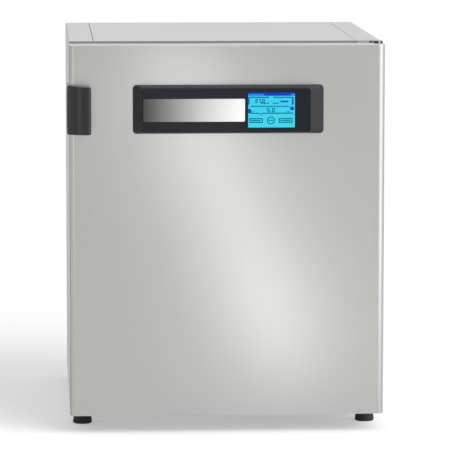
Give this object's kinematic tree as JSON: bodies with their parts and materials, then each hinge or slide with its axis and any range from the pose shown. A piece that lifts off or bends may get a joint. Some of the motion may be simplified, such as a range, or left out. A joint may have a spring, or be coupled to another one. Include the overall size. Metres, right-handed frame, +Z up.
{
  "type": "carbon dioxide incubator",
  "caption": "Steel-clad carbon dioxide incubator with an insulated front door that carries a control bar, a glass inner door, a round-cornered steel chamber, perforated shelves and levelling feet",
  "frame": {"origin": "on the floor, under the middle of the incubator's box", "axes": "+X to the right as seen from the front, -Y out of the front door, +Z up"},
  "size_m": [0.785, 0.944, 0.97],
  "materials": {
    "cabinet_steel": "satin",
    "plain_steel": "satin",
    "bright_steel": "satin",
    "door_steel": "satin",
    "hinge_steel": "satin",
    "zinc_steel": "satin",
    "insulation": "matte",
    "heater_mat": "matte",
    "filter_white": "matte",
    "sensor_grey": "matte",
    "port_grey": "matte",
    "brass_fittings": "satin",
    "motor_dark": "satin",
    "seal_white": "matte",
    "seal_grey": "matte",
    "black_plastic": "satin",
    "tube_clear": "satin",
    "board_green": "satin",
    "supply_case": "satin",
    "handle_black": "satin",
    "housing_black": "satin",
    "lens_dark": "gloss",
    "display": "gloss",
    "trim_metal": "satin",
    "door_glass": "gloss",
    "wheel_white": "matte",
    "foot_black": "matte"
  },
  "bodies": {
    "cabinet": {"left_side_panel": "cabinet_steel", "right_side_panel": "cabinet_steel", "top_panel": "cabinet_steel", "base_plate": "plain_steel", "rear_panel": "plain_steel", "front_frame": "bright_steel", "chamber_liner": "bright_steel", "insulation_boards": "insulation", "wall_heaters": "heater_mat", "electronics_tray": "plain_steel", "door_hinge_brackets": "hinge_steel", "shelf_uprights": "bright_steel", "shelf_brackets": "bright_steel", "rear_air_duct": "bright_steel", "top_air_duct": "bright_steel", "intake_filter": "filter_white", "sensor_block": "sensor_grey", "water_tray": "bright_steel", "water_tray_cover": "bright_steel", "access_port_sleeve": "port_grey", "pressure_vent": "brass_fittings", "blower_motor": "motor_dark", "shaft_seal": "seal_white", "glass_door_seal": "seal_grey", "glass_hinge_brackets": "hinge_steel", "magnet_catch": "black_plastic", "foot_lock_nuts": "zinc_steel", "power_entry": "black_plastic", "signal_sockets": "black_plastic", "gas_inlet": "brass_fittings", "gas_line": "tube_clear", "solenoid_valve": "motor_dark", "main_board": "board_green", "power_supply": "supply_case"},
    "outer_door": {"door_skin": "door_steel", "door_inner_panel": "bright_steel", "door_insulation": "insulation", "door_gasket": "seal_grey", "door_hinge_bushes": "black_plastic", "door_handle": "handle_black", "control_housing": "housing_black", "control_lens": "lens_dark", "display_module": "display", "control_board": "board_green", "trim_plate": "trim_metal"},
    "glass_door": {"glass_pane": "door_glass", "glass_hinge_clamps": "hinge_steel", "glass_door_pull": "black_plastic"},
    "lower_shelf": {"lower_shelf": "bright_steel"},
    "middle_shelf": {"middle_shelf": "bright_steel"},
    "upper_shelf": {"upper_shelf": "bright_steel"},
    "blower_rotor": {"blower_wheel": "wheel_white", "blower_shaft": "zinc_steel"},
    "port_plug": {"port_plug": "seal_grey"},
    "switch_rocker": {"switch_rocker": "black_plastic"},
    "front_left_foot": {"foot_front_left": "foot_black"},
    "front_right_foot": {"foot_front_right": "foot_black"},
    "rear_left_foot": {"foot_rear_left": "foot_black"},
    "rear_right_foot": {"foot_rear_right": "foot_black"}
  },
  "joints": [
    {"name": "outer_door_hinge", "type": "hinge", "parent": "cabinet", "child": "outer_door", "pos_m": [0.381, -0.357, 0.5], "axis": [0, 0, 1], "range_deg": [0, 115]},
    {"name": "glass_door_hinge", "type": "hinge", "parent": "cabinet", "child": "glass_door", "pos_m": [0.35, -0.332, 0.477], "axis": [0, 0, 1], "range_deg": [0, 110]},
    {"name": "lower_shelf_slide", "type": "slide", "parent": "cabinet", "child": "lower_shelf", "axis": [0, -1, 0], "range_m": [0, 0.211]},
    {"name": "middle_shelf_slide", "type": "slide", "parent": "cabinet", "child": "middle_shelf", "axis": [0, -1, 0], "range_m": [0, 0.211]},
    {"name": "upper_shelf_slide", "type": "slide", "parent": "cabinet", "child": "upper_shelf", "axis": [0, -1, 0], "range_m": [0, 0.211]},
    {"name": "blower_spin", "type": "hinge", "parent": "cabinet", "child": "blower_rotor", "pos_m": [0, 0.29, 0.682], "axis": [0, 1, 0], "continuous": true},
    {"name": "port_plug_slide", "type": "slide", "parent": "cabinet", "child": "port_plug", "axis": [0, 1, 0], "range_m": [0, 0.06]},
    {"name": "rocker_pivot", "type": "hinge", "parent": "cabinet", "child": "switch_rocker", "pos_m": [-0.29, 0.454, 0.259], "axis": [1, 0, 0], "range_deg": [-24, 0]},
    {"name": "front_left_foot_turn", "type": "hinge", "parent": "cabinet", "child": "front_left_foot", "pos_m": [-0.358, -0.27, 0.02], "axis": [0, 0, 1], "continuous": true},
    {"name": "front_right_foot_turn", "type": "hinge", "parent": "cabinet", "child": "front_right_foot", "pos_m": [0.358, -0.27, 0.02], "axis": [0, 0, 1], "continuous": true},
    {"name": "rear_left_foot_turn", "type": "hinge", "parent": "cabinet", "child": "rear_left_foot", "pos_m": [-0.358, 0.39, 0.02], "axis": [0, 0, 1], "continuous": true},
    {"name": "rear_right_foot_turn", "type": "hinge", "parent": "cabinet", "child": "rear_right_foot", "pos_m": [0.358, 0.39, 0.02], "axis": [0, 0, 1], "continuous": true}
  ],
  "couplings": [
    {"joint": "glass_door_hinge", "follows": "outer_door_hinge", "ratio": 0.95},
    {"joint": "lower_shelf_slide", "follows": "outer_door_hinge", "m_per_rad": 0.105},
    {"joint": "middle_shelf_slide", "follows": "outer_door_hinge", "m_per_rad": 0.105},
    {"joint": "upper_shelf_slide", "follows": "outer_door_hinge", "m_per_rad": 0.105}
  ]
}
